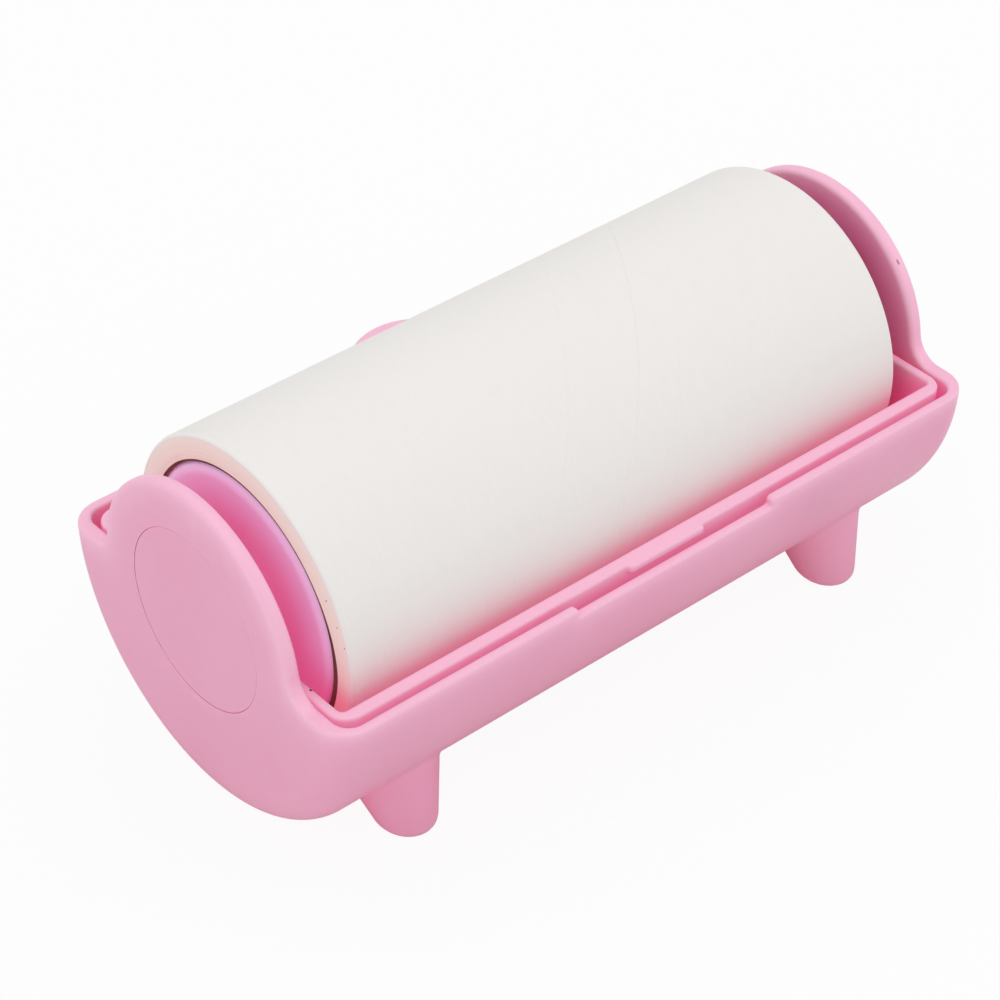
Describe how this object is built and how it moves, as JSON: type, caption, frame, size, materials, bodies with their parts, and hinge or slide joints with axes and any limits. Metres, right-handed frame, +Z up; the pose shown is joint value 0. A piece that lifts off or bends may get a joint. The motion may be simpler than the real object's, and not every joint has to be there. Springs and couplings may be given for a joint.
{
  "type": "lint roller",
  "caption": "Compact lint roller: a roll of adhesive paper sheets turns inside a half-round cover that swings over it out of a half-round case on short legs.",
  "frame": {"origin": "on the plane the feet stand on, under the middle of the part's box; the roll's axis is 2.25 mm in front of it and 31.5 mm above it", "axes": "+X along the roll's axis to the right hub, +Y to the rear, where the thumb tab is at rest, +Z up"},
  "size_m": [0.115, 0.0644, 0.0544],
  "materials": {
    "case_plastic": "satin moulded pink plastic",
    "cover_plastic": "satin moulded pink plastic",
    "disc_plastic": "satin moulded pink plastic",
    "hub_plastic": "satin moulded pink plastic",
    "core_board": "rough brown board",
    "roll_paper": "matte wound paper, cream at its cut ends",
    "sheet_paper": "matte white adhesive paper"
  },
  "bodies": {
    "case": {"outer_case": "case_plastic"},
    "cover": {"inner_cover": "cover_plastic", "left_pivot_disc": "disc_plastic", "right_pivot_disc": "disc_plastic"},
    "roller": {"left_hub": "hub_plastic", "right_hub": "hub_plastic", "core_tube": "core_board", "adhesive_roll": "roll_paper", "top_sheet": "sheet_paper"}
  },
  "joints": [
    {"name": "cover_swing", "type": "hinge", "parent": "case", "child": "cover", "pos_m": [0, -0.00225, 0.0315], "axis": [1, 0, 0], "range_deg": [0, 180]},
    {"name": "roll_spin", "type": "hinge", "parent": "cover", "child": "roller", "pos_m": [0, -0.00225, 0.0315], "axis": [1, 0, 0], "continuous": true}
  ]
}
